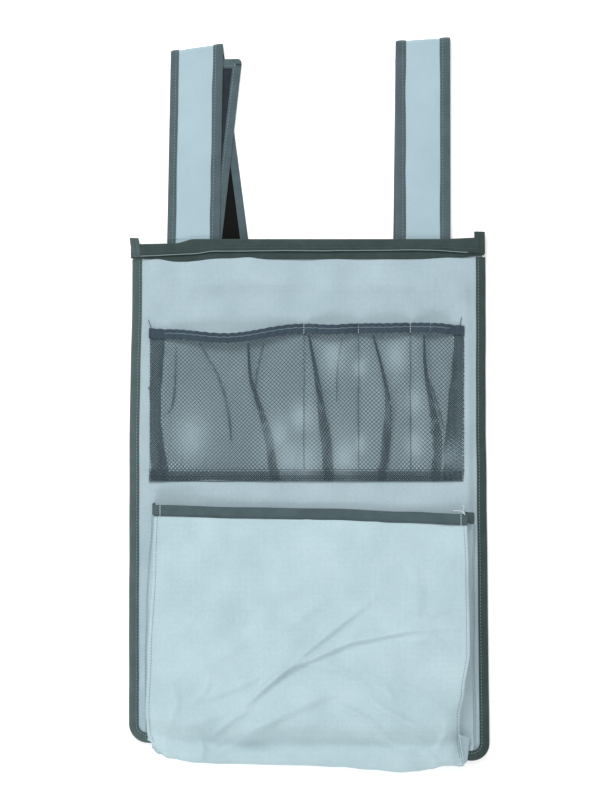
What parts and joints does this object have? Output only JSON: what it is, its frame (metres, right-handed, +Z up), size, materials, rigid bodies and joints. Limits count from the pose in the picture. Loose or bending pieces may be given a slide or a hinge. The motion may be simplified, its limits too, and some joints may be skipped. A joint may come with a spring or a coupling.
{
  "type": "drum stick bag",
  "caption": "Flat hanging organiser for drum sticks: stiffened fabric panel with elastic-topped net compartments, a box pocket below and two hook-and-loop hanger straps",
  "frame": {"origin": "bottom centre of the bag's bounding box as it lies on its back", "axes": "X to the right, Y towards the hanger straps, Z up from the surface it lies on"},
  "size_m": [0.33, 0.679, 0.0261],
  "materials": {
    "light_fabric": "plain-woven polyester, pale grey-blue, matt",
    "binding_tape": "dark grey ribbed binding tape with a light stitch line",
    "net": "dark grey-blue open net with a soft hand",
    "elastic": "dark grey-blue ribbed elastic",
    "loop_tape": "black brushed loop tape",
    "hook_tape": "dark grey moulded hooks in rows",
    "board": "thin stiffening board, hidden",
    "thread": "pale sewing thread"
  },
  "bodies": {
    "panel": {"rear_panel_fabric": "light_fabric", "stiffening_board": "board", "front_panel_fabric": "light_fabric", "edge_binding": "binding_tape", "top_hem": "binding_tape", "divider_seam_1": "thread", "divider_seam_2": "thread", "divider_seam_3": "thread", "left_net_edge": "net", "right_net_edge": "net", "left_elastic_end": "elastic", "right_elastic_end": "elastic", "net_bottom_hem": "net", "left_gusset": "light_fabric", "left_gusset_binding": "binding_tape", "right_gusset": "light_fabric", "right_gusset_binding": "binding_tape", "left_strap_anchor": "light_fabric", "right_strap_anchor": "light_fabric"},
    "wide_compartment": {"wide_net": "net", "wide_elastic": "elastic"},
    "stick_1_compartment": {"stick_1_net": "net", "stick_1_elastic": "elastic"},
    "stick_2_compartment": {"stick_2_net": "net", "stick_2_elastic": "elastic"},
    "stick_3_compartment": {"stick_3_net": "net", "stick_3_elastic": "elastic"},
    "pocket_front": {"bottom_pocket_front": "light_fabric", "bottom_pocket_mouth_binding": "binding_tape"},
    "left_strap": {"left_front_strap": "light_fabric", "left_front_loop_tape": "loop_tape", "left_front_strap_binding_left": "binding_tape", "left_front_strap_binding_right": "binding_tape", "left_strap_fold": "light_fabric"},
    "left_strap_end": {"left_rear_strap": "light_fabric", "left_rear_loop_tape": "loop_tape", "left_rear_strap_binding_left": "binding_tape", "left_rear_strap_binding_right": "binding_tape"},
    "left_hook_tab": {"left_hook_strap": "light_fabric", "left_hook_tape": "hook_tape", "left_hook_strap_binding": "binding_tape"},
    "right_strap": {"right_front_strap": "light_fabric", "right_front_loop_tape": "loop_tape", "right_front_strap_binding_left": "binding_tape", "right_front_strap_binding_right": "binding_tape", "right_strap_fold": "light_fabric"},
    "right_strap_end": {"right_rear_strap": "light_fabric", "right_rear_loop_tape": "loop_tape", "right_rear_strap_binding_left": "binding_tape", "right_rear_strap_binding_right": "binding_tape"},
    "right_hook_tab": {"right_hook_strap": "light_fabric", "right_hook_tape": "hook_tape", "right_hook_strap_binding": "binding_tape"}
  },
  "joints": [
    {"name": "wide_compartment_open", "type": "hinge", "parent": "panel", "child": "wide_compartment", "pos_m": [-0.0682, -0.06365, 0.0054], "axis": [1, 0, 0], "range_deg": [0, 8]},
    {"name": "stick_1_compartment_open", "type": "hinge", "parent": "panel", "child": "stick_1_compartment", "pos_m": [0.02185, -0.06365, 0.0054], "axis": [1, 0, 0], "range_deg": [0, 6]},
    {"name": "stick_2_compartment_open", "type": "hinge", "parent": "panel", "child": "stick_2_compartment", "pos_m": [0.07115, -0.06365, 0.0054], "axis": [1, 0, 0], "range_deg": [0, 6]},
    {"name": "stick_3_compartment_open", "type": "hinge", "parent": "panel", "child": "stick_3_compartment", "pos_m": [0.1141, -0.06365, 0.0054], "axis": [1, 0, 0], "range_deg": [0, 6]},
    {"name": "bottom_pocket_open", "type": "hinge", "parent": "panel", "child": "pocket_front", "pos_m": [0.0025, -0.33565, 0.008], "axis": [1, 0, 0], "range_deg": [0, 8], "deforming": ["left_gusset", "right_gusset", "left_gusset_binding", "right_gusset_binding"]},
    {"name": "left_strap_swing", "type": "hinge", "parent": "panel", "child": "left_strap", "pos_m": [-0.1056, 0.14835, 0.00877], "axis": [1, 0, 0], "range_deg": [0, 160]},
    {"name": "left_strap_unfold", "type": "hinge", "parent": "left_strap", "child": "left_strap_end", "pos_m": [-0.1028, 0.32665, 0.00352], "axis": [0.9906, 0.1367, 0], "range_deg": [0, 175], "deforming": ["left_strap_fold"]},
    {"name": "left_hook_tab_swing", "type": "hinge", "parent": "left_strap", "child": "left_hook_tab", "pos_m": [-0.1046, 0.14875, 0.00345], "axis": [1, 0, 0], "range_deg": [-5.25, 0]},
    {"name": "right_strap_swing", "type": "hinge", "parent": "panel", "child": "right_strap", "pos_m": [0.107, 0.14835, 0.00877], "axis": [1, 0, 0], "range_deg": [0, 160]},
    {"name": "right_strap_unfold", "type": "hinge", "parent": "right_strap", "child": "right_strap_end", "pos_m": [0.107, 0.33425, 0.00352], "axis": [0.9977, 0.0678, 0], "range_deg": [0, 175], "deforming": ["right_strap_fold"]},
    {"name": "right_hook_tab_swing", "type": "hinge", "parent": "right_strap", "child": "right_hook_tab", "pos_m": [0.107, 0.14875, 0.00345], "axis": [1, 0, 0], "range_deg": [-5.25, 0]}
  ],
  "couplings": [
    {"joint": "left_hook_tab_swing", "follows": "left_strap_unfold", "ratio": -0.03},
    {"joint": "right_hook_tab_swing", "follows": "right_strap_unfold", "ratio": -0.03}
  ]
}
